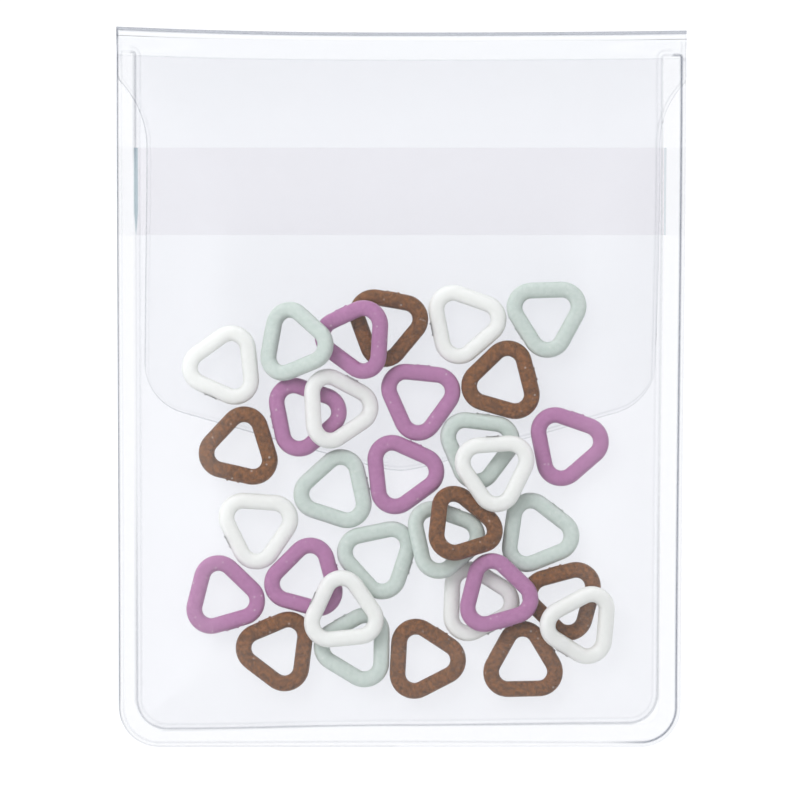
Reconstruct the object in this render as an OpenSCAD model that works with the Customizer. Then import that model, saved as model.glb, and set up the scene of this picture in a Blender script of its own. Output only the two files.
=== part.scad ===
// Ring stitch markers in a clear vinyl pouch.
// The pouch lies on its strap side with the fold of the flap towards +Y. The origin is the middle of the
// pouch on the surface that it lies on, with +Z up and all sizes in millimetres.

/* [Pouch] */
// Width over the side welds
pouch_w = 75; // [70:0.5:120]
// Length from the fold to the bottom edge
pouch_l = 94.5; // [88:0.5:150]
// Thickness of the clear film
film_t = 0.3; // [0.15:0.05:0.5]
// Room between film layers that lie on each other
layer_gap = 0.05; // [0.02:0.01:0.2]
// Radius of the two bottom corners
pouch_r = 5.3; // [3.5:0.1:12]
// Edge trimmed outside the weld
trim_w = 0.7; // [0.3:0.1:2]
// Width of the pressed weld
weld_w = 2.2; // [1.2:0.1:4]
// Depth to which the weld is pressed in
weld_d = 0.08; // [0.03:0.01:0.12]
// Distance from the fold to the top ends of the side welds
weld_drop = 3.2; // [2.6:0.1:6]
// Distance from the fold to the pocket's mouth
mouth_drop = 3.6; // [2.8:0.1:8]
// Length over which the filled pocket rises from its welds
side_run = 22; // [18:0.5:26]
// Distance from the fold to where the pocket starts to slope down to it
slope_l = 33; // [24:1:50]

/* [Flap and strap] */
// Outer height of the rolled fold
fold_h = 2.4; // [1.6:0.1:4]
// Length of the flap from the fold to its tip
flap_l = 57.6; // [45:0.1:75]
// Distance from the pouch's side to the side of the flap's tongue
flap_inset = 3.7; // [3.5:0.1:8]
// Distance from the fold to where the tongue reaches its straight sides
flap_shoulder = 15.4; // [12:0.1:15.5]
// Radius of the hollow shoulders
shoulder_r = 12; // [9:0.5:20]
// Radius of the curved tip
tip_r = 57; // [50:1:110]
// Radius of the tip's corners
tip_corner_r = 5; // [2:0.5:10]
// Distance from the fold to the strap
strap_drop = 15.6; // [15.6:0.1:24]
// Width of the strap
strap_w = 11.5; // [6:0.5:18]
// How far the strap stays flat past the tongue's sides before it steps up to its weld
strap_room = 0.4; // [0.2:0.1:0.6]

/* [Marker] */
// Width of a marker over two corners
marker_w = 10.5; // [9.5:0.1:11.5]
// Outer radius of its corners
corner_r = 3.25; // [2.8:0.05:3.8]
// Width of the moulded bar
bar_w = 2.1; // [1.5:0.05:2.2]
// Thickness of the bar over its two flats
bar_t = 1.9; // [1.4:0.05:2.1]
// Diameter of the gate stub on one side
gate_d = 0.8; // [0.4:0.1:1.2]
// Height of the gate stub
gate_h = 0.15; // [0.05:0.05:0.3]
// How much fuller the corners are than the straight bars
corner_fuller = 0.01; // [0.005:0.005:0.02]
// Room round a marker where it lies on something
marker_gap = 0.05; // [0.02:0.01:0.2]

/* [Hidden] */
$fn = 64;
eps = 0.01;
// How far a straight bar of a marker runs into its corners
side_run_in = 0.1;
// Smallest radius that stays on a corner drawn inward
least_r = 0.5;
// How quickly the pocket rises beside its welds, where 1 is a straight slope
side_power = 3;
// Distance over which the slope of the back sheet is read
slope_step = 0.05;

// Heights of the film layers, from the surface up
strap_z = 0;
flap_z = strap_z + film_t + layer_gap;
front_z = flap_z + film_t + layer_gap;
pocket_z = front_z + film_t;
weld_top_z = pocket_z + film_t;

// Main lines of the pouch
fold_y = pouch_l / 2;
bottom_y = -pouch_l / 2;
border = trim_w + weld_w;
pocket_x = pouch_w / 2 - border;
pocket_y = bottom_y + border;
pocket_r = max(pouch_r - border, least_r);
mouth_y = fold_y - mouth_drop;
weld_end_y = fold_y - weld_drop;

// The fold is a half round about this line, which is also the hinge line of the flap
fold_r = fold_h / 2;
hinge_y = fold_y - fold_r;
hinge_z = flap_z + fold_r;
fold_lift = hinge_z + fold_r - weld_top_z;

// The pile of markers. Each has its colour, the place of its middle in marker widths from the pocket's
// centre line and bottom weld, the turn of its first corner from +X, and how high each corner lies in bar
// thicknesses.
pile = [
    ["white", -2.22, 4.50, -54, [0, 0, 0]],
    ["mint", -1.34, 4.79, 110, [0.4, 0.5, 2.0]],
    ["mauve", -0.58, 4.84, 55, [1.85, 0.35, 1.05]],
    ["brown", -0.18, 5.01, 20, [0, 0, 0]],
    ["white", 0.79, 5.04, 11, [0, 0, 0]],
    ["mint", 1.82, 5.13, -88, [0, 0, 0]],
    ["brown", 1.27, 4.30, 74, [0, 0, 0]],
    ["mauve", 0.23, 4.09, 24, [0, 0, 0]],
    ["mauve", -1.21, 3.88, 11, [0, 0, 0]],
    ["white", -0.80, 3.97, 3, [0.05, 1.0, 1.1]],
    ["brown", -2.02, 3.47, 77, [0, 0, 0]],
    ["mauve", 2.07, 3.51, 11, [0, 0, 0]],
    ["mint", 0.97, 3.48, 23, [0, 0, 0]],
    ["white", 1.17, 3.20, -86, [1.35, 1.4, 1.4]],
    ["mauve", 0.01, 3.15, 6, [0, 0, 0]],
    ["mint", -0.83, 2.94, 72, [0, 0, 0]],
    ["brown", 0.76, 2.51, -10, [0.75, 0.7, 2.7]],
    ["mint", 0.53, 2.34, 11, [0.15, 0.45, 1.3]],
    ["mint", 1.70, 2.40, -8, [0, 0, 0]],
    ["white", -1.80, 2.48, -94, [0, 0, 0]],
    ["mint", -0.29, 2.10, -78, [0, 0, 0]],
    ["mauve", -2.23, 1.61, 106, [0, 0, 0]],
    ["mauve", -1.20, 1.83, 75, [0, 0, 0]],
    ["white", -0.73, 1.42, 95, [1.1, 1.1, 1.1]],
    ["mint", -0.57, 0.98, 59, [0, 0, 0]],
    ["brown", -1.55, 0.94, 53, [0, 0, 0]],
    ["brown", 0.28, 0.83, -3, [0, 0, 0]],
    ["white", 0.95, 1.55, 118, [0, 0, 0]],
    ["mauve", 1.19, 1.64, 106, [1.15, 1.15, 1.15]],
    ["brown", 1.52, 0.78, 91, [0, 0, 0]],
    ["brown", 2.03, 1.58, 45, [0, 0, 0]],
    ["white", 2.24, 1.26, 57, [1.05, 1.55, 0.15]],
];
pile_h = (max([for (m = pile) max(m[4])]) + 1) * bar_t + 3 * marker_gap;

function marker_name(i) = str(
    pile[i][0], "_marker_", len([for (k = [0 : i]) if (pile[k][0] == pile[i][0]) 1])
);
marker_names = [for (i = [0 : len(pile) - 1]) marker_name(i)];

// How far a point of the pocket lies inside the round-cornered line of its welds
function inside(x, y) =
    let (over_x = abs(x) - (pocket_x - pocket_r), over_y = pocket_y + pocket_r - y)
    over_x > 0 && over_y > 0 ? pocket_r - norm([over_x, over_y]) : min(pocket_x - abs(x), y - pocket_y);

function clamp(t) = min(max(t, 0), 1);
function smooth(t) = clamp(t) * clamp(t) * (3 - 2 * clamp(t));

// How far the back sheet is lifted over the weld's level. Along the fold it has the fold's height, over the
// markers the pile's, and at the welds none.
function lift(x, y) =
    let (
        at_fold = fold_lift * smooth((y - weld_end_y) / (hinge_y - weld_end_y)),
        crown = fold_lift + (pile_h - fold_lift) * smooth((hinge_y - y) / slope_l),
        rise = 1 - pow(1 - clamp(inside(x, y) / side_run), side_power)
    )
    at_fold + (crown - at_fold) * rise;

// A point of the back sheet, on its outer face, or a film's thickness down square to it
function sheet_point(x, y, depth) =
    let (
        step = slope_step,
        on_edge = inside(x, y) <= 0,
        at_hinge = y > hinge_y - eps,
        at_weld = on_edge && y < weld_end_y + eps,
        slope_x = on_edge || at_hinge ? 0 : (lift(x + step, y) - lift(x - step, y)) / (2 * step),
        slope_y = at_weld || at_hinge ? 0 : (lift(x, y + step) - lift(x, y - step)) / (2 * step),
        down = depth / norm([slope_x, slope_y, 1])
    )
    [x + slope_x * down, y + slope_y * down, weld_top_z + lift(x, y) - down];

// Grid lines of the back sheet, closer where it rises from the welds
cells = 18;
grid_x = concat(
    [-pouch_w / 2],
    [for (i = [0 : cells]) pocket_x * sin(180 * i / cells - 90)],
    [pouch_w / 2]
);
grid_y = concat(
    [bottom_y],
    [for (i = [0 : cells - 4]) pocket_y + (weld_end_y - pocket_y) * (1 - cos(90 * i / (cells - 4)))],
    [for (i = [1 : 4]) weld_end_y + (hinge_y - weld_end_y) * i / 4]
);

module back_skin() {
    cols = len(grid_x);
    rows = len(grid_y);
    points = [for (depth = [0, film_t], y = grid_y, x = grid_x) sheet_point(x, y, depth)];
    function at(side, row, col) = (side * rows + row) * cols + col;
    outer = [for (r = [0 : rows - 2], c = [0 : cols - 2], half = [0, 1]) half == 0
        ? [at(0, r, c), at(0, r + 1, c), at(0, r + 1, c + 1)]
        : [at(0, r, c), at(0, r + 1, c + 1), at(0, r, c + 1)]];
    inner = [for (f = outer) [for (k = [2 : -1 : 0]) f[k] + rows * cols]];
    rim = concat(
        [for (c = [0 : cols - 2]) [at(0, 0, c), at(0, 0, c + 1), at(1, 0, c + 1), at(1, 0, c)]],
        [for (c = [0 : cols - 2])
            [at(0, rows - 1, c + 1), at(0, rows - 1, c), at(1, rows - 1, c), at(1, rows - 1, c + 1)]],
        [for (r = [0 : rows - 2]) [at(0, r + 1, 0), at(0, r, 0), at(1, r, 0), at(1, r + 1, 0)]],
        [for (r = [0 : rows - 2])
            [at(0, r, cols - 1), at(0, r + 1, cols - 1), at(1, r + 1, cols - 1), at(1, r, cols - 1)]]
    );
    polyhedron(points, concat(outer, inner, rim), convexity = 4);
}

// Outline of the pouch drawn in by an inset, up to a height on the drawing
module pouch_outline(inset, top_y) {
    r = pouch_r - min(inset, pouch_r - least_r);
    x = pouch_w / 2 - inset;
    y = bottom_y + inset;
    for (side = [-1, 1])
        translate([side * (x - r), y + r])
            circle(r);
    translate([-x + r, y])
        square([2 * (x - r), r + eps]);
    translate([-x, y + r])
        square([2 * x, top_y - y - r]);
}

// The pressed track of the weld, with round top ends
module weld_track() {
    difference() {
        pouch_outline(trim_w, weld_end_y - weld_w / 2);
        pouch_outline(border, fold_y);
    }
    for (side = [-1, 1])
        translate([side * (pouch_w / 2 - trim_w - weld_w / 2), weld_end_y - weld_w / 2])
            circle(d = weld_w);
}

// A part of the fold's half round, above or below its middle
module fold_roll(upper) {
    translate([-pouch_w / 2, hinge_y, hinge_z])
        rotate([90, 0, 90])
            linear_extrude(pouch_w)
                intersection() {
                    difference() {
                        circle(fold_r);
                        circle(fold_r - film_t);
                    }
                    translate([0, upper ? 0 : -fold_r])
                        square(fold_r);
                }
}

module back_sheet() {
    color([0.85, 0.88, 0.93, 0.35]) {
        difference() {
            intersection() {
                back_skin();
                linear_extrude(weld_top_z + pile_h + film_t)
                    pouch_outline(0, fold_y);
            }
            translate([0, 0, weld_top_z - weld_d])
                linear_extrude(film_t)
                    weld_track();
        }
        fold_roll(true);
    }
}

module front_sheet() {
    color([0.85, 0.88, 0.93, 0.35])
        translate([0, 0, front_z])
            linear_extrude(film_t)
                pouch_outline(0, mouth_y);
}

// The strap lies flat across the tongue and steps up at its ends to the front sheet, where it is welded in
module strap() {
    flat_x = pouch_w / 2 - flap_inset + strap_room;
    end_z = front_z - film_t;
    color([0.78, 0.80, 0.86, 0.35])
        translate([0, fold_y - strap_drop, 0])
            rotate([90, 0, 0])
                linear_extrude(strap_w)
                    polygon([
                        [-pouch_w / 2, end_z], [-pocket_x, end_z], [-flat_x, strap_z],
                        [flat_x, strap_z], [pocket_x, end_z], [pouch_w / 2, end_z],
                        [pouch_w / 2, front_z], [pocket_x, front_z], [flat_x, strap_z + film_t],
                        [-flat_x, strap_z + film_t], [-pocket_x, front_z], [-pouch_w / 2, front_z]
                    ]);
}

module flap_outline() {
    half_w = pouch_w / 2 - flap_inset;
    middle_y = fold_y - flap_l + tip_r;
    corner_x = half_w - tip_corner_r;
    corner_y = middle_y - sqrt(pow(tip_r - tip_corner_r, 2) - pow(corner_x, 2));
    shoulder_y = fold_y - flap_shoulder;
    reach = 2 * tip_r / (middle_y - corner_y);
    // tongue
    translate([-half_w, corner_y])
        square([2 * half_w, hinge_y - corner_y]);
    for (side = [-1, 1])
        translate([side * corner_x, corner_y])
            circle(tip_corner_r);
    intersection() {
        translate([0, middle_y])
            circle(tip_r);
        polygon([
            [corner_x, corner_y],
            [-corner_x, corner_y],
            [-corner_x * reach, middle_y - (middle_y - corner_y) * reach],
            [corner_x * reach, middle_y - (middle_y - corner_y) * reach]
        ]);
    }
    // full width at the fold, drawn in by the hollow shoulders
    difference() {
        translate([-pouch_w / 2, shoulder_y])
            square([pouch_w, hinge_y - shoulder_y]);
        for (side = [-1, 1])
            translate([side * (half_w + shoulder_r), shoulder_y])
                circle(shoulder_r);
    }
}

module flap() {
    color([0.80, 0.84, 0.92, 0.35]) {
        translate([0, 0, flap_z])
            linear_extrude(film_t)
                flap_outline();
        fold_roll(false);
    }
}

// The bar's section: round, with a flat on the upper and lower face, and fuller by some amount all round
module bar_section(fuller) {
    intersection() {
        circle(d = bar_w + 2 * fuller);
        square([2 * bar_w, bar_t + 2 * fuller], center = true);
    }
}

// A closed ring in the shape of a round-cornered triangle, with its first corner towards +X. Its straight
// bars run a little way into the corners, which are that much fuller.
module ring() {
    bend_r = corner_r - bar_w / 2;
    side_l = marker_w - 2 * corner_r;
    corner_at = side_l / sqrt(3);
    side_at = side_l / (2 * sqrt(3)) + bend_r;
    for (corner = [0, 120, 240])
        rotate(corner) {
            translate([corner_at, 0])
                rotate(-60)
                    rotate_extrude(angle = 120)
                        translate([bend_r, 0])
                            bar_section(corner_fuller);
            rotate(60)
                translate([side_at, side_l / 2 + side_run_in, 0])
                    rotate([90, 0, 0])
                        linear_extrude(side_l + 2 * side_run_in)
                            bar_section(0);
        }
    // the stub where the moulding gate was cut
    rotate([0, 90, 60])
        translate([0, 0, side_at])
            cylinder(h = bar_w / 2 + gate_h, d = gate_d);
}

ring_color = [
    ["white", [0.94, 0.94, 0.91]], ["mint", [0.78, 0.85, 0.81]],
    ["mauve", [0.73, 0.51, 0.70]], ["brown", [0.50, 0.38, 0.30]],
];

// One marker in its place, leaning so that its corners lie at their three heights
module marker(i) {
    m = pile[i];
    tips = m[4] * bar_t;
    reach = (marker_w - 2 * corner_r) / sqrt(3) + corner_r - bar_w / 2;
    lean_x = (2 * tips[0] - tips[1] - tips[2]) / (3 * reach);
    lean_y = (tips[1] - tips[2]) / (sqrt(3) * reach);
    middle_z = pocket_z + marker_gap + bar_t / 2 + (tips[0] + tips[1] + tips[2]) / 3;
    color([for (c = ring_color) if (c[0] == m[0]) c[1]][0])
        translate([m[1] * marker_w, pocket_y + m[2] * marker_w, middle_z])
            rotate(m[3])
                rotate(a = atan(norm([lean_x, lean_y])), v = [lean_y, -lean_x, 0])
                    ring();
}

back_sheet();
front_sheet();
strap();
flap();
for (i = [0 : len(pile) - 1])
    marker(i);
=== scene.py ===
"""A clear vinyl pouch of ring stitch markers, lying on its strap side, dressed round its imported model."""
import math
import random

import bmesh
import bpy
from mathutils import Matrix, Vector, noise


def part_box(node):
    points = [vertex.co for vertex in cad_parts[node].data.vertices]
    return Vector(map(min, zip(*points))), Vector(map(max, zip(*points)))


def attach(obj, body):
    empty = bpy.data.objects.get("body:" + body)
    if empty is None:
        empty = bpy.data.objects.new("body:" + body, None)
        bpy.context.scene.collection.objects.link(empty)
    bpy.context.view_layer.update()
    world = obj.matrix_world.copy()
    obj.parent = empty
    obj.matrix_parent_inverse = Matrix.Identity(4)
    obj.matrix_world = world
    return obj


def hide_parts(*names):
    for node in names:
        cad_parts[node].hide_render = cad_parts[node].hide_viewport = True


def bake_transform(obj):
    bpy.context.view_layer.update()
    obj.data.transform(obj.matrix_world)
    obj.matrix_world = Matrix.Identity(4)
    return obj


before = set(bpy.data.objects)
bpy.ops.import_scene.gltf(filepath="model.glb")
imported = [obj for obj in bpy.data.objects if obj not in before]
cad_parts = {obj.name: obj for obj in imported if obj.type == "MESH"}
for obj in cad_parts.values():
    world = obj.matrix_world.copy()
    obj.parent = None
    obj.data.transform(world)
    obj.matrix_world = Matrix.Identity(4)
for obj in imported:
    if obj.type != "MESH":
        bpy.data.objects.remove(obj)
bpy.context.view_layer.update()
mm = 0.001

# Front sheet: the film under the pile, cut square at the pocket's mouth and round at its two lower corners.
# It is clear calendered vinyl, and a pressed weld joins it to the back sheet along three sides.
pouch_w, pouch_l, pouch_r = 75.0, 94.5, 5.3
film_t, film_gap = 0.3, 0.02
fold_y, bottom_y = pouch_l / 2, -pouch_l / 2
mouth_y = fold_y - 3.6
pocket_z = 1.0
front_z = pocket_z - film_t / 2
# the weld's track: its middle line in from the trimmed edge, half its width, its upper end and its corners
weld_middle, weld_half, weld_end_y = 1.8, 1.1, fold_y - 3.2
weld_corner_r, weld_end_r = 4.0, 0.4
# grid lines, by their distance in from the trimmed edge: closest along the edge and both sides of the track
edge_steps = (0, 0.12, 0.26, 0.42, 0.52, 0.6, 0.66, 0.74, 0.82, 0.95, 1.2, 1.6, 2.0, 2.3, 2.44, 2.54, 2.62,
              2.7, 2.8, 2.88, 2.96, 3.06, 3.14, 3.22, 3.32, *(3.45 + 0.15 * i for i in range(24)))
cells_across, cells_down = 46, 52
# grey of the painted shade lines along the films' cut edges, welds and creases
edge_shade_grey = (0.27, 0.29, 0.34)


def smooth(t):
    """A soft rise from 0 to 1 while t goes from 0 to 1."""
    t = min(max(t, 0.0), 1.0)
    return t * t * (3 - 2 * t)


def lines_between(low, high, count):
    return [low + (high - low) * i / count for i in range(count + 1)]


def width_lines():
    """Grid lines over the pouch's width, close together along the welds."""
    side = [-pouch_w / 2 + s for s in edge_steps]
    return side + lines_between(side[-1], -side[-1], cells_across)[1:-1] + [-x for x in reversed(side)]


def film_grid(name, x_lines, y_lines, place, joined_row=None):
    """A film laid out as a grid. place gives each point's position in mm, how much painted edge shade it
    carries and how far it is melted by the weld. Its cut edges are rounded, but not where it runs on into the
    next."""
    bm = bmesh.new()
    columns, rows = len(x_lines) - 1, len(y_lines) - 1
    bmesh.ops.create_grid(bm, x_segments=columns, y_segments=rows, size=0.5)
    edge, melt = (bm.verts.layers.float.new(layer) for layer in ("painted_edge_shade", "film_melt"))
    round_off = bm.edges.layers.float.new("bevel_weight_edge")
    joined = set()
    for v in bm.verts:
        column, row = round((v.co.x + 0.5) * columns), round((v.co.y + 0.5) * rows)
        point, v[edge], v[melt] = place(x_lines[column], y_lines[row])
        v.co = Vector(point) * mm
        if row == joined_row:
            joined.add(v)
    for e in bm.edges:
        e.smooth = not joined.issuperset(e.verts)
        e[round_off] = 1.0 if e.is_boundary and e.smooth else 0.0
    bmesh.ops.recalc_face_normals(bm, faces=bm.faces)
    mesh = bpy.data.meshes.new(name)
    bm.to_mesh(mesh)
    bm.free()
    mesh.shade_smooth()
    film = bpy.data.objects.new(name, mesh)
    bpy.context.scene.collection.objects.link(film)
    wall = film.modifiers.new("film thickness", "SOLIDIFY")
    wall.thickness = film_t * mm
    wall.offset = 0
    cut = film.modifiers.new("rounded cut edge", "BEVEL")
    cut.width = 0.09 * mm
    cut.segments = 3
    cut.limit_method = "WEIGHT"
    cut.harden_normals = True
    return film


def pulled(x, y):
    """How the filled pocket pulls the flat pouch out of shape: narrower towards the bottom, most on the
    right, and with a fold that sags in its middle."""
    narrowing, end_rise = (0.02, 0.26) if x > 0 else (0.008, 0.79)
    middle_drop, drop_from_y, drop_run, narrow_run = 0.46, 30, 17, 95
    narrow = narrowing * smooth((fold_y - y) / narrow_run)
    sag = end_rise * abs(x / (pouch_w / 2)) ** 2.2 - middle_drop
    return x * (1 - narrow), y + sag * smooth((y - drop_from_y) / drop_run)


def rounded(x, y):
    """Draws the lower corners of a square grid round. Gives x, y and how far in from the trimmed edge."""
    over_x, over_y = abs(x) - (pouch_w / 2 - pouch_r), bottom_y + pouch_r - y
    if over_x <= 0 or over_y <= 0:
        return x, y, min(pouch_w / 2 - abs(x), y - bottom_y)
    r = max(over_x, over_y)
    bent_x = over_x * math.sqrt(1 - over_y**2 / (2 * r**2))
    bent_y = over_y * math.sqrt(1 - over_x**2 / (2 * r**2))
    return math.copysign(pouch_w / 2 - pouch_r + bent_x, x), bottom_y + pouch_r - bent_y, pouch_r - r


def round_meet(a, b, radius):
    """The larger of two distances, with the corner where they meet rounded off."""
    a, b = a + radius, b + radius
    return math.hypot(max(a, 0), max(b, 0)) + min(max(a, b), 0) - radius


def weld_distance(x, y, inset):
    """Distance outside the weld's pressed track, negative inside it. The track is a little wider on the right
    side and narrower on the left, has rounder corners towards the pile, and is cut square under the fold."""
    aside = smooth(abs(x) / 30)
    wider_in, wider_out = (0.29 if x > 0 else -0.49), 0.08
    inner = weld_middle + weld_half + wider_in * aside
    outer = weld_middle - weld_half - wider_out * aside
    pocket = -round_meet(abs(x) - pouch_w / 2 + inner, bottom_y + inner - y, weld_corner_r)
    return round_meet(max(pocket, outer - inset), y - weld_end_y, weld_end_r)


def melted(x, y, inset):
    """1 where the weld has melted the films into one and in the trimmed margin outside it, 0 elsewhere."""
    if inset < weld_middle and y < weld_end_y - 1:
        return 1.0
    return smooth(0.5 - weld_distance(x, y, inset) / 0.2)


def feed(node, inputs):
    """Gives a node's inputs their values, or links them to the outputs that they come from."""
    for socket, value in inputs.items():
        if isinstance(value, bpy.types.NodeSocket):
            node.id_data.links.new(value, node.inputs[socket])
        else:
            node.inputs[socket].default_value = value


def add_node(tree, kind, inputs, **settings):
    """A new node in a node tree. Its settings are made before its inputs are fed."""
    node = tree.nodes.new(kind)
    for setting, value in settings.items():
        setattr(node, setting, value)
    feed(node, inputs)
    return node


def film_material(name, tint, edge_shade_tint, gloss):
    """Clear vinyl, clearest by film_melt. Its edges and creases carry painted shade: dark lines mixed into
    its colour by the edge attribute.
    """
    mat = bpy.data.materials.new(name)
    mat.use_nodes = True
    tree = mat.node_tree
    tree.nodes.clear()
    melt = add_node(tree, "ShaderNodeAttribute", {}, attribute_name="film_melt")
    clearer = add_node(tree, "ShaderNodeMix", {}, data_type="RGBA")
    feed(clearer, {"Factor": melt.outputs["Fac"], "A": (*tint, 1), "B": (0.998, 0.998, 1.0, 1)})
    # painted shade: the edge attribute mixes the grey of the shade lines into the colour
    edge = add_node(tree, "ShaderNodeAttribute", {}, attribute_name="painted_edge_shade")
    deeper = add_node(tree, "ShaderNodeMix", {}, data_type="RGBA")
    feed(deeper, {"Factor": edge.outputs["Fac"], "A": clearer.outputs["Result"], "B": (*edge_shade_tint, 1)})
    # haze makes the gloss uneven, and soft ripples bend the light except along the edges
    place = add_node(tree, "ShaderNodeTexCoord", {}).outputs["Object"]
    haze = add_node(tree, "ShaderNodeTexNoise", {"Vector": place, "Scale": 90, "Detail": 4})
    rough = add_node(tree, "ShaderNodeMapRange", {
        "Value": haze.outputs["Fac"], "From Min": 0.3, "From Max": 0.7,
        "To Min": gloss, "To Max": gloss * 2.5})
    ripple = add_node(tree, "ShaderNodeTexNoise", {"Vector": place, "Scale": 140, "Detail": 2})
    calm = add_node(tree, "ShaderNodeMapRange", {
        "Value": edge.outputs["Fac"], "From Max": 0.1, "To Min": 0.2, "To Max": 0.0})
    bump = add_node(tree, "ShaderNodeBump", {
        "Height": ripple.outputs["Fac"], "Strength": calm.outputs["Result"], "Distance": 0.05 * mm})
    body = add_node(tree, "ShaderNodeBsdfPrincipled", {
        "Base Color": deeper.outputs["Result"], "Roughness": rough.outputs["Result"],
        "Normal": bump.outputs["Normal"], "IOR": 1.53, "Transmission Weight": 1.0})
    # lamps shine through the film
    path = add_node(tree, "ShaderNodeLightPath", {})
    lit = add_node(tree, "ShaderNodeMath", {
        0: path.outputs["Is Shadow Ray"], 1: path.outputs["Is Diffuse Ray"]}, operation="MAXIMUM")
    through = add_node(tree, "ShaderNodeBsdfTransparent", {"Color": (0.99, 0.99, 0.992, 1)})
    choose = add_node(tree, "ShaderNodeMixShader", {
        0: lit.outputs[0], 1: body.outputs[0], 2: through.outputs[0]})
    add_node(tree, "ShaderNodeOutputMaterial", {"Surface": choose.outputs[0]})
    return mat


def place_front(x, y):
    x, y, inset = rounded(x, y)
    # painted shade: a dark line along the cut edge, heavier on the left, and a faint one along the mouth
    rim = max(0.0, 1 - inset / 0.2) * (0.4 if x < 0 else 0.1)
    mouth = 0.12 * max(0.0, 1 - (mouth_y - y) / 0.3)
    return (*pulled(x, y), front_z), max(rim, mouth), melted(x, y, inset)


lower_lines = [bottom_y + s for s in edge_steps]
y_lines = lower_lines + lines_between(lower_lines[-1], mouth_y - 0.4, cells_down)[1:]
y_lines += [mouth_y - 0.25, mouth_y - 0.1, mouth_y]
front_sheet = film_grid("front_sheet_film", width_lines(), y_lines, place_front)
front_sheet.data.materials.append(film_material("front_vinyl", (0.946, 0.944, 0.957), edge_shade_grey, 0.02))
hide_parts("front_sheet")
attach(front_sheet, "root")

# Strap: a band of slightly cloudier film across the flap's tongue. It lies flat and steps up at both ends
# to the front sheet, where the side welds hold it.
strap_top_y, strap_w = fold_y - 15.6, 11.5
strap_low_y = strap_top_y - strap_w
strap_z, strap_end_z = film_t / 2, front_z - film_t - film_gap
strap_flat_x, strap_melt_x, strap_up_x = 34.2, 34.8, 35.0
step_from_x, step_to_x = 33.9, 35.6


def place_strap(x, y):
    """The shade in the gap that the left end leaves under the front sheet is painted as a grey stripe, the
    right one's hardly.
    """
    rise = smooth((abs(x) - strap_flat_x) / (strap_up_x - strap_flat_x))
    fade = min(1.0, (y - strap_low_y) / 3)
    stripe_x, half, depth = (-35.02, 0.25 * fade, 1.0) if x < 0 else (34.75, 0.2, 0.5)
    stripe = depth * smooth(0.5 + (half - abs(x - stripe_x)) / 0.12)
    melt = smooth((abs(x) - strap_melt_x) / 0.3)
    return (*pulled(x, y), strap_z + (strap_end_z - strap_z) * rise), stripe, melt


strap_side = lines_between(-pouch_w / 2, -step_to_x, 10) + lines_between(-step_to_x, -step_from_x, 28)[1:]
x_lines = strap_side + lines_between(-step_from_x, step_from_x, 56)[1:-1] + [-x for x in reversed(strap_side)]
strap = film_grid("strap_film", x_lines, lines_between(strap_low_y, strap_top_y, 12), place_strap)
# the strap's edge colour is the blue-grey of its painted shade stripe
strap.data.materials.append(film_material("strap_vinyl", (0.962, 0.945, 0.958), (0.52, 0.62, 0.66), 0.04))
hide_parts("strap")
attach(strap, "root")

# Ring markers: closed soft plastic rings in the shape of a round-cornered triangle, moulded in one shot. The
# bar is round with a small flat on both faces, has a faint parting line round it, and keeps the scar of its
# gate on one side.
marker_w, corner_r, bar_w, bar_t = 10.5, 3.25, 2.1, 1.9
parting_h, parting_w = 0.02, 0.1
fullness = 2.5
bend_r = corner_r - bar_w / 2
side_l = marker_w - 2 * corner_r
bend_at = side_l / math.sqrt(3)
side_at = bend_at / 2 + bend_r
# the gate's two torn corners and the low pad between them: place along the side, and half sizes
gate_scar = ((-0.72, (0.19, 0.2, 0.34)), (0.74, (0.17, 0.17, 0.30)), (0.0, (0.1, 0.9, 0.4)))
gate_sunk = 0.04


def bar_section(bm):
    """The bar's outline, drawn round the origin: a full oval that the parting line widens at half height."""
    section = bmesh.ops.create_circle(bm, segments=32, radius=1)["verts"]
    for v in section:
        line = parting_h * math.exp(-((v.co.y / parting_w) ** 2))
        wide, high = (math.copysign(abs(c) ** (2 / fullness), c) for c in (v.co.x, v.co.y))
        v.co = (wide * (bar_w / 2 - parting_h + line), 0, high * bar_t / 2)
    return section


def ring_mesh(gate):
    """One ring in mm round the origin, with its first corner towards +X. gate is the side with the scar."""
    bm = bmesh.new()
    start = Matrix.Rotation(math.radians(60), 4, "Z") @ Matrix.Translation((side_at, -side_l / 2, 0))
    bmesh.ops.transform(bm, matrix=start, verts=bar_section(bm))
    loop = list(bm.edges)
    for side in (60, 180, 300):
        along = Vector((-math.sin(math.radians(side)), math.cos(math.radians(side)), 0))
        for _ in range(5):
            made = bmesh.ops.extrude_edge_only(bm, edges=loop)["geom"]
            moved = [g for g in made if isinstance(g, bmesh.types.BMVert)]
            bmesh.ops.translate(bm, vec=along * side_l / 5, verts=moved)
            loop = [g for g in made if isinstance(g, bmesh.types.BMEdge)]
        corner = math.radians(side + 60)
        centre = Vector((math.cos(corner), math.sin(corner), 0)) * bend_at
        made = bmesh.ops.spin(bm, geom=loop, cent=centre, axis=(0, 0, 1), angle=math.radians(120), steps=14)
        loop = [g for g in made["geom_last"] if isinstance(g, bmesh.types.BMEdge)]
    bmesh.ops.remove_doubles(bm, verts=bm.verts, dist=0.01)
    outer_face = Matrix.Translation((side_at + bar_w / 2, 0, 0))
    outward = Matrix.Rotation(math.radians(60 + 120 * gate), 4, "Z") @ outer_face
    for shift, size in gate_scar:
        nub = outward @ Matrix.Translation((-gate_sunk, shift, 0)) @ Matrix.Diagonal((*size, 1))
        bmesh.ops.create_uvsphere(bm, u_segments=12, v_segments=8, radius=1, matrix=nub)
    bmesh.ops.recalc_face_normals(bm, faces=bm.faces)
    return bm


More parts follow.
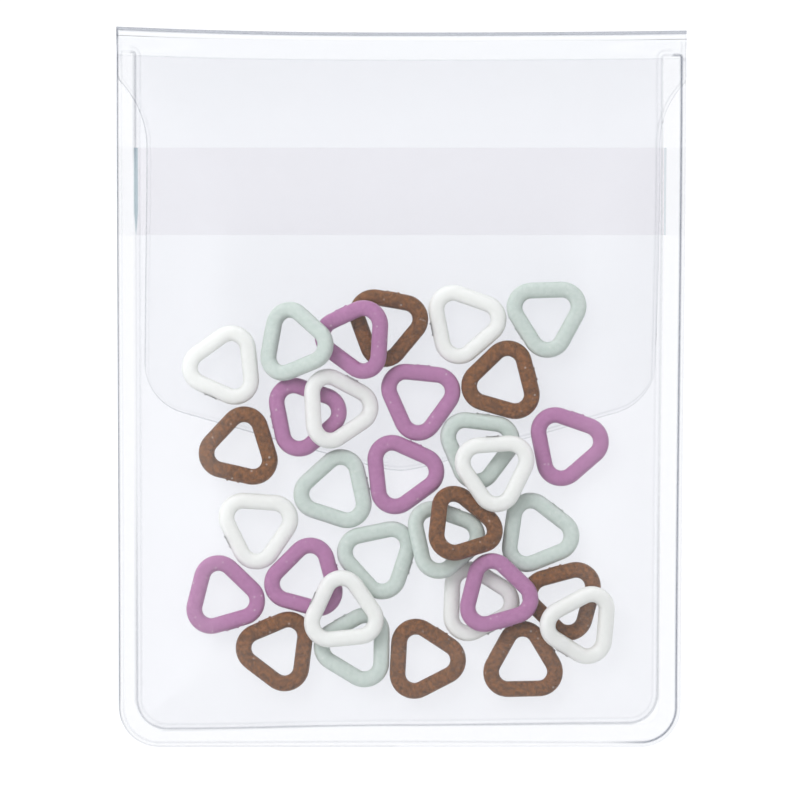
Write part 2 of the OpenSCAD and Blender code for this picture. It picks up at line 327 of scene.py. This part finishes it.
def moulded_skin():
    """Node group for moulded plastic: mottled colour, pale specks, uneven gloss, grain and pits."""
    skin = bpy.data.node_groups.new("moulded_skin", "ShaderNodeTree")
    for in_out, sockets in (
            ("INPUT", (("Colour", "NodeSocketColor"), ("Deep colour", "NodeSocketColor"),
                       ("Mottle", "NodeSocketFloat"), ("Grain size", "NodeSocketFloat"),
                       ("Gloss", "NodeSocketFloat"))),
            ("OUTPUT", (("Colour", "NodeSocketColor"), ("Roughness", "NodeSocketFloat"),
                        ("Height", "NodeSocketFloat")))):
        for socket, kind in sockets:
            skin.interface.new_socket(name=socket, in_out=in_out, socket_type=kind)
    given = add_node(skin, "NodeGroupInput", {})
    place = add_node(skin, "ShaderNodeTexCoord", {}).outputs["Object"]
    grain_scale = add_node(skin, "ShaderNodeMath", {
        0: 1, 1: given.outputs["Grain size"]}, operation="DIVIDE")
    grain = add_node(skin, "ShaderNodeTexNoise", {
        "Vector": place, "Scale": grain_scale.outputs[0], "Detail": 5, "Roughness": 0.65})
    cloud = add_node(skin, "ShaderNodeTexNoise", {"Vector": place, "Scale": 1300, "Detail": 3})
    soft_cloud = add_node(skin, "ShaderNodeMath", {0: cloud.outputs["Fac"], 1: 0.3}, operation="MULTIPLY")
    blend = add_node(skin, "ShaderNodeMath", {
        0: grain.outputs["Fac"], 1: 0.7, 2: soft_cloud.outputs[0]}, operation="MULTIPLY_ADD")
    spread = add_node(skin, "ShaderNodeMapRange", {
        "Value": blend.outputs[0], "From Min": 0.38, "From Max": 0.62})
    amount = add_node(skin, "ShaderNodeMath", {
        0: spread.outputs["Result"], 1: given.outputs["Mottle"]}, operation="MULTIPLY")
    tone = add_node(skin, "ShaderNodeMix", {}, data_type="RGBA")
    feed(tone, {"Factor": amount.outputs[0], "A": given.outputs["Colour"], "B": given.outputs["Deep colour"]})
    # pale specks scattered over the surface
    specks = add_node(skin, "ShaderNodeTexVoronoi", {"Vector": place, "Scale": 1100})
    fleck = add_node(skin, "ShaderNodeMapRange", {
        "Value": specks.outputs["Distance"], "From Min": 0.22, "From Max": 0.08})
    some = add_node(skin, "ShaderNodeMapRange", {
        "Value": specks.outputs["Color"], "From Min": 0.45, "To Max": 0.5})
    faint = add_node(skin, "ShaderNodeMath", {
        0: fleck.outputs["Result"], 1: some.outputs["Result"]}, operation="MULTIPLY")
    flecked = add_node(skin, "ShaderNodeMix", {}, data_type="RGBA")
    feed(flecked, {"Factor": faint.outputs[0], "A": tone.outputs["Result"], "B": (0.85, 0.84, 0.80, 1)})
    rough = add_node(skin, "ShaderNodeMath", {
        0: grain.outputs["Fac"], 1: 0.18, 2: given.outputs["Gloss"]}, operation="MULTIPLY_ADD")
    # small pits where dust or air sat in the mould
    pits = add_node(skin, "ShaderNodeTexVoronoi", {"Vector": place, "Scale": 700})
    pit = add_node(skin, "ShaderNodeMapRange", {
        "Value": pits.outputs["Distance"], "From Min": 0.05, "From Max": 0.12})
    height = add_node(skin, "ShaderNodeMath", {
        0: grain.outputs["Fac"], 1: 0.6, 2: pit.outputs["Result"]}, operation="MULTIPLY_ADD")
    add_node(skin, "NodeGroupOutput", {
        "Colour": flecked.outputs["Result"], "Roughness": rough.outputs[0], "Height": height.outputs[0]})
    return skin


skin = moulded_skin()


def ring_material(name, colour, deep, mottle, grain_mm, gloss, bump_mm, depth, reach_mm):
    """Moulded plastic, mottled with a deeper colour. Light goes reach_mm into it, as much as depth says."""
    mat = bpy.data.materials.new(name)
    mat.use_nodes = True
    tree = mat.node_tree
    moulded = add_node(tree, "ShaderNodeGroup", {}, node_tree=skin)
    feed(moulded, {"Colour": (*colour, 1), "Deep colour": (*deep, 1), "Mottle": mottle,
                   "Grain size": grain_mm * mm, "Gloss": gloss})
    bump = add_node(tree, "ShaderNodeBump", {
        "Height": moulded.outputs["Height"], "Strength": 0.5, "Distance": bump_mm * mm})
    feed(tree.nodes["Principled BSDF"], {
        "Base Color": moulded.outputs["Colour"], "Roughness": moulded.outputs["Roughness"],
        "Normal": bump.outputs["Normal"], "IOR": 1.48, "Subsurface Weight": depth,
        "Subsurface Radius": (1.0, 1.0, 1.0), "Subsurface Scale": reach_mm * mm})
    return mat


ring_materials = {
    "white": ring_material("white_plastic", (0.825, 0.83, 0.80), (0.745, 0.75, 0.715), mottle=0.5,
                           grain_mm=0.5, gloss=0.36, bump_mm=0.03, depth=1.0, reach_mm=2.2),
    "mint": ring_material("mint_plastic", (0.61, 0.67, 0.63), (0.51, 0.585, 0.54), mottle=0.7,
                          grain_mm=0.5, gloss=0.34, bump_mm=0.04, depth=0.7, reach_mm=0.9),
    "mauve": ring_material("mauve_plastic", (0.46, 0.202, 0.39), (0.37, 0.148, 0.31), mottle=0.6,
                           grain_mm=0.5, gloss=0.27, bump_mm=0.04, depth=0.3, reach_mm=0.6),
    "brown": ring_material("brown_plastic", (0.275, 0.101, 0.024), (0.09, 0.033, 0.009), mottle=1.0,
                           grain_mm=0.4, gloss=0.38, bump_mm=0.07, depth=0.1, reach_mm=0.4),
}

# colour, middle in marker widths from the pocket's centre line and bottom weld, turn, heights of the corners
# in bar thicknesses, side with the gate
pile = [
    ("white", -2.22, 4.50, -54, (0, 0, 0), 2), ("mint", -1.34, 4.79, 110, (0.4, 0.5, 2.0), 0),
    ("mauve", -0.58, 4.84, 55, (1.85, 0.35, 1.05), 0), ("brown", -0.18, 5.01, 20, (0, 0, 0), 0),
    ("white", 0.79, 5.04, 11, (0, 0, 0), 1), ("mint", 1.82, 5.13, -88, (0, 0, 0), 2),
    ("brown", 1.27, 4.30, 74, (0, 0, 0), 2), ("mauve", 0.23, 4.09, 24, (0, 0, 0), 0),
    ("mauve", -1.21, 3.88, 11, (0, 0, 0), 1), ("white", -0.80, 3.97, 3, (0.05, 1.0, 1.1), 0),
    ("brown", -2.02, 3.47, 77, (0, 0, 0), 1), ("mauve", 2.07, 3.51, 11, (0, 0, 0), 0),
    ("mint", 0.97, 3.48, 23, (0, 0, 0), 0), ("white", 1.17, 3.20, -86, (1.35, 1.4, 1.4), 1),
    ("mauve", 0.01, 3.15, 6, (0, 0, 0), 0), ("mint", -0.83, 2.94, 72, (0, 0, 0), 2),
    ("brown", 0.76, 2.51, -10, (0.75, 0.7, 2.7), 0), ("mint", 0.53, 2.34, 11, (0.15, 0.45, 1.3), 0),
    ("mint", 1.70, 2.40, -8, (0, 0, 0), 0), ("white", -1.80, 2.48, -94, (0, 0, 0), 2),
    ("mint", -0.29, 2.10, -78, (0, 0, 0), 0), ("mauve", -2.23, 1.61, 106, (0, 0, 0), 1),
    ("mauve", -1.20, 1.83, 75, (0, 0, 0), 2), ("white", -0.73, 1.42, 95, (1.1, 1.1, 1.1), 0),
    ("mint", -0.57, 0.98, 59, (0, 0, 0), 0), ("brown", -1.55, 0.94, 53, (0, 0, 0), 0),
    ("brown", 0.28, 0.83, -3, (0, 0, 0), 0), ("white", 0.95, 1.55, 118, (0, 0, 0), 1),
    ("mauve", 1.19, 1.64, 106, (1.15, 1.15, 1.15), 1), ("brown", 1.52, 0.78, 91, (0, 0, 0), 2),
    ("brown", 2.03, 1.58, 45, (0, 0, 0), 0), ("white", 2.24, 1.26, 57, (1.05, 1.55, 0.15), 1),
]
pocket_y, marker_gap = bottom_y + weld_middle + weld_half, 0.05
reach = bend_at + bend_r
warp_scale, warp_mm = 0.22, 0.02
counts = {}
# the noise has a seed of its own, without which the rings' unevenness would change from run to run
random.seed(7)
noise.seed_set(7)
for colour, across, up, turn, corners, gate in pile:
    counts[colour] = counts.get(colour, 0) + 1
    node = f"{colour}_marker_{counts[colour]}"
    # the heights of its corners give how a ring leans
    a, b, c = (h * bar_t for h in corners)
    lean = Vector(((2 * a - b - c) / (3 * reach), (b - c) / (math.sqrt(3) * reach), 0))
    lean_axis = Vector((lean.y, -lean.x, 0)) if lean.length else Vector((0, 0, 1))
    tilt = Matrix.Rotation(math.atan(lean.length), 4, lean_axis)
    middle_z = pocket_z + marker_gap + bar_t / 2 + (a + b + c) / 3
    middle = Vector((across * marker_w, pocket_y + up * marker_w, middle_z))
    bm = ring_mesh(gate)
    shift = Vector([random.uniform(-50, 50) for _ in range(3)])
    for v in bm.verts:
        v.co += noise.noise_vector(v.co * warp_scale + shift) * warp_mm
    turned = Matrix.Rotation(math.radians(turn), 4, "Z")
    placed = Matrix.Scale(mm, 4) @ Matrix.Translation(middle) @ turned @ tilt
    bmesh.ops.transform(bm, matrix=placed, verts=bm.verts)
    mesh = bpy.data.meshes.new(node)
    bm.to_mesh(mesh)
    bm.free()
    mesh.shade_smooth()
    ring = bpy.data.objects.new(f"{node}_ring", mesh)
    bpy.context.scene.collection.objects.link(ring)
    mesh.materials.append(ring_materials[colour])
    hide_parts(node)
    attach(ring, node)

# Back sheet: the upper half of one long piece of clear vinyl. It is welded to the front sheet at its sides
# and bottom, rises over the pile, and runs on into the fold of the flap.
fold_r, hinge_z = 1.05, 1.55
hinge_y = fold_y - fold_r - film_t / 2
flange_z = front_z + film_t + film_gap
fold_lift = hinge_z + fold_r - flange_z
pile_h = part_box("back_sheet")[1].z / mm - (pocket_z + film_t)
side_run, slope_l = 22.0, 33.0
fine_from_y = 41.5


def lift(y, inset):
    """Height of the back sheet over its weld: none at the welds, the fold's at the fold, else the pile's."""
    at_fold = fold_lift * smooth((y - weld_end_y) / (hinge_y - weld_end_y))
    crown = fold_lift + (pile_h - fold_lift) * smooth((hinge_y - y) / slope_l)
    inside = min(max((inset - weld_middle - weld_half) / side_run, 0), 1)
    rise = 1 - (1 - inside) ** 3
    return at_fold + (crown - at_fold) * rise


def ridge(distance, half):
    """A soft ridge, 1 high and about half wide to each side."""
    return math.exp(-((distance / half) ** 2))


def place_back(x, y):
    x, y, inset = rounded(x, y)
    track = weld_distance(x, y, inset)
    inner = inset > weld_middle
    # a bead along both sides of the track, a swollen margin outside it and a weak second bead inside it
    bead = ridge(track, 0.13)
    margin = smooth((weld_middle - inset) / 0.9) * smooth((track + 0.2) / 0.3) * smooth(weld_end_y + 0.4 - y)
    second = ridge(track - 0.65, 0.14) if inner else 0.0
    z = flange_z + lift(y, inset) + 0.05 * bead + 0.04 * margin + 0.03 * second
    # the light from the upper left darkens the edges that face away from it
    right = smooth((x - 27) / 7)
    left = smooth(-x / 30) * smooth((y - bottom_y) / 8)
    rim = max(0.0, 1 - inset / 0.3) * (0.1 + 0.9 * left)
    low, high = smooth((-y - 5) / 30), smooth((y - 28) / 5)
    inner_line = 0.28 + 0.3 * low + left * (0.35 * high - 0.16 * (1 - high) * (1 - low))
    outer_line = 0.25 + 0.75 * right - 0.15 * left
    line = bead * (inner_line if inner else outer_line)
    return (*pulled(x, y), z), min(1.0, rim + line + 0.12 * second), melted(x, y, inset)


y_lines = lower_lines + lines_between(lower_lines[-1], fine_from_y, 50)[1:]
y_lines += lines_between(fine_from_y, hinge_y, 22)[1:]
back_sheet = film_grid("back_sheet_film", width_lines(), y_lines, place_back, joined_row=len(y_lines) - 1)
back_sheet.data.materials.append(film_material("clear_vinyl", (0.965, 0.969, 0.976), edge_shade_grey, 0.02))
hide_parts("back_sheet")
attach(back_sheet, "root")

# Flap: the lower half of the same piece of vinyl. It comes round the fold, is drawn in by two hollow
# shoulders, and its tongue lies between the strap and the front sheet. The tongue ends in a very blunt point.
flap_z = hinge_z - fold_r
tongue_x, shoulder_y, shoulder_r = pouch_w / 2 - 3.7, fold_y - 15.4, 12.0
tip_y, tip_slope, tip_blunt, tip_corner_r = fold_y - 58.15, 0.285, 2.1, 7.0
corner_x = tongue_x - tip_corner_r
turn_x = corner_x + tip_corner_r * math.sin(math.atan(tip_slope))


def tip_line(x):
    """Height on the drawing of the tongue's lower edge."""
    low = tip_y + tip_slope * (math.hypot(min(abs(x), turn_x), tip_blunt) - tip_blunt)
    if abs(x) < turn_x:
        return low
    corner_y = low + tip_corner_r * math.cos(math.atan(tip_slope))
    return corner_y - math.sqrt(max(tip_corner_r**2 - (abs(x) - corner_x) ** 2, 0))


def half_width(y):
    """Half of the flap's width, from full at the fold to the tongue's below the shoulders."""
    if y <= shoulder_y:
        return tongue_x
    up = y - shoulder_y
    if up >= shoulder_r:
        return pouch_w / 2
    return min(pouch_w / 2, tongue_x + shoulder_r - math.sqrt(shoulder_r**2 - up**2))


def place_flap(share, along):
    """share runs from -1 to 1 over the width; along is 0 to 1 round the fold and 1 to 2 down the tongue."""
    if along <= 1:
        angle = math.pi * along
        # painted shade: a dark line along the fold's crease and at the fold's ends, heavier on the left
        crease = 1 - smooth((abs(along - 0.5) - 0.08) / 0.16)
        end = max(0.0, 1 - (1 - abs(share)) * pouch_w / 2 / 0.3) * (1.0 if share < 0 else 0.1)
        x, y = pulled(share * pouch_w / 2, hinge_y + fold_r * math.sin(angle))
        z = hinge_z + fold_r * math.cos(angle)
        return (x, y, z), min(1.0, max(crease + 0.035 * (1 - along), end)), 0.0
    low = tip_line(share * tongue_x)
    y = hinge_y + (low - hinge_y) * (along - 1)
    x = share * half_width(y)
    # painted shade: the cut edge shows as a dark line and a weaker one inside it, which are more alike on the
    # right
    to_edge = min((1 - abs(share)) * tongue_x, (2 - along) * (hinge_y - low))
    right = smooth(share + 0.5)
    cut = (0.6 - 0.3 * right) * max(0.0, 1 - to_edge / 0.2)
    cut += (0.08 + 0.08 * right) * ridge(to_edge - 0.5, 0.12)
    x, y = pulled(x, y)
    # the tongue lies a little askew
    askew = 0.25 * smooth((hinge_y - y) / 15) - 0.0134 * max(0.0, 27 - y)
    return (x + askew, y, flap_z), cut, 0.0


# grid lines closest at the sides, next to the back sheet and along the tongue's cut edge
shares = [-math.cos(math.pi * i / 90) for i in range(91)]
shares = sorted(set([-0.997, -0.993, 0.993, 0.997] + shares))
alongs = [0, 0.003, 0.01, 0.02] + [i / 28 for i in range(1, 28)] + [1 + i / 60 for i in range(58)]
alongs += [1.966, 1.98, 1.986, 1.989, 1.9915, 1.994, 1.9965, 1.998, 2.0]
flap = film_grid("flap_film", shares, alongs, place_flap, joined_row=0)
flap.data.materials.append(film_material("flap_vinyl", (0.992, 0.994, 0.998), edge_shade_grey, 0.02))
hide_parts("flap")
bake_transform(flap)

# Table: a plain white top. To the camera it also glows a little, so that it stays white under soft light and
# still takes the shade of the pouch.
table_half, table_drop = 1.5, 0.12 * mm
glow_share = 0.82
bm = bmesh.new()
bmesh.ops.create_grid(bm, x_segments=1, y_segments=1, size=table_half)
bmesh.ops.translate(bm, vec=(0, 0, -table_drop), verts=bm.verts)
mesh = bpy.data.meshes.new("table")
bm.to_mesh(mesh)
bm.free()
table = bpy.data.objects.new("table", mesh)
bpy.context.scene.collection.objects.link(table)
mat = bpy.data.materials.new("white_table")
mat.use_nodes = True
tree = mat.node_tree
tree.nodes.clear()
paint = add_node(tree, "ShaderNodeBsdfDiffuse", {"Color": (0.9, 0.9, 0.9, 1)})
glow = add_node(tree, "ShaderNodeEmission", {"Color": (1.0, 1.01, 1.035, 1), "Strength": 1.1})
path = add_node(tree, "ShaderNodeLightPath", {})
seen = add_node(tree, "ShaderNodeMath", {
    0: path.outputs["Is Camera Ray"], 1: path.outputs["Is Glossy Ray"]}, operation="MAXIMUM")
seen_through = add_node(tree, "ShaderNodeMath", {
    0: seen.outputs[0], 1: path.outputs["Is Transmission Ray"]}, operation="MAXIMUM")
glowing = add_node(tree, "ShaderNodeMath", {0: seen_through.outputs[0], 1: glow_share}, operation="MULTIPLY")
mix = add_node(tree, "ShaderNodeMixShader", {0: glowing.outputs[0], 1: paint.outputs[0], 2: glow.outputs[0]})
add_node(tree, "ShaderNodeOutputMaterial", {"Surface": mix.outputs[0]})
mesh.materials.append(mat)

# Room and lamp: a pale room that is brightest at its upper left and dim straight above, where the camera
# hangs, and one large soft lamp at the upper left. The film mirrors the room but not the lamp.
world = bpy.data.worlds.new("pale_room")
bpy.context.scene.world = world
world.use_nodes = True
tree = world.node_tree
tree.nodes.clear()
direction = add_node(tree, "ShaderNodeTexCoord", {}).outputs["Generated"]
towards = add_node(tree, "ShaderNodeVectorMath", {
    0: direction, 1: (-0.42, 0.50, 0.757)}, operation="DOT_PRODUCT")
level = add_node(tree, "ShaderNodeMapRange", {
    "Value": towards.outputs["Value"], "From Min": -0.3, "From Max": 1.0, "To Min": 0.68, "To Max": 1.1},
    interpolation_type="SMOOTHSTEP")
upward = add_node(tree, "ShaderNodeSeparateXYZ", {0: direction})
overhead = add_node(tree, "ShaderNodeMapRange", {
    "Value": upward.outputs["Z"], "From Min": 0.78, "From Max": 1.0, "To Min": 1.0, "To Max": 0.5},
    interpolation_type="SMOOTHSTEP")
strength = add_node(tree, "ShaderNodeMath", {
    0: level.outputs["Result"], 1: overhead.outputs["Result"]}, operation="MULTIPLY")
room = add_node(tree, "ShaderNodeBackground", {
    "Color": (0.97, 0.985, 1.0, 1), "Strength": strength.outputs[0]})
white = add_node(tree, "ShaderNodeBackground", {"Color": (1, 1, 1, 1), "Strength": 1.0})
path = add_node(tree, "ShaderNodeLightPath", {})
mix = add_node(tree, "ShaderNodeMixShader", {
    0: path.outputs["Is Camera Ray"], 1: room.outputs[0], 2: white.outputs[0]})
add_node(tree, "ShaderNodeOutputWorld", {"Surface": mix.outputs[0]})

data = bpy.data.lights.new("upper_left_lamp", "AREA")
data.shape = "SQUARE"
data.size = 0.45
data.energy = 4.0
lamp = bpy.data.objects.new("upper_left_lamp", data)
lamp.location = (-0.42, 0.50, 0.75)
lamp.rotation_euler = (-lamp.location).to_track_quat("-Z", "Y").to_euler()
lamp.visible_glossy = False
lamp.visible_transmission = False
bpy.context.scene.collection.objects.link(lamp)

# Camera: straight above, with a long lens. The photograph's scale and the place of its middle set what the
# camera takes in.
photo_px, px_mm = 800, 0.1318
middle_px_x, middle_px_y = -1.5, -12
camera_h, sensor_mm = 1.0, 36
data = bpy.data.cameras.new("overhead")
data.sensor_width = sensor_mm
data.lens = sensor_mm / (photo_px * px_mm * mm)
data.clip_end = 10
camera = bpy.data.objects.new("overhead", data)
camera.location = (middle_px_x * px_mm * mm, middle_px_y * px_mm * mm, camera_h)
scene = bpy.context.scene
scene.collection.objects.link(camera)
scene.camera = camera
scene.view_settings.view_transform = "Standard"
scene.cycles.transparent_max_bounces = 24
scene.cycles.transmission_bounces = 24
scene.cycles.max_bounces = 24
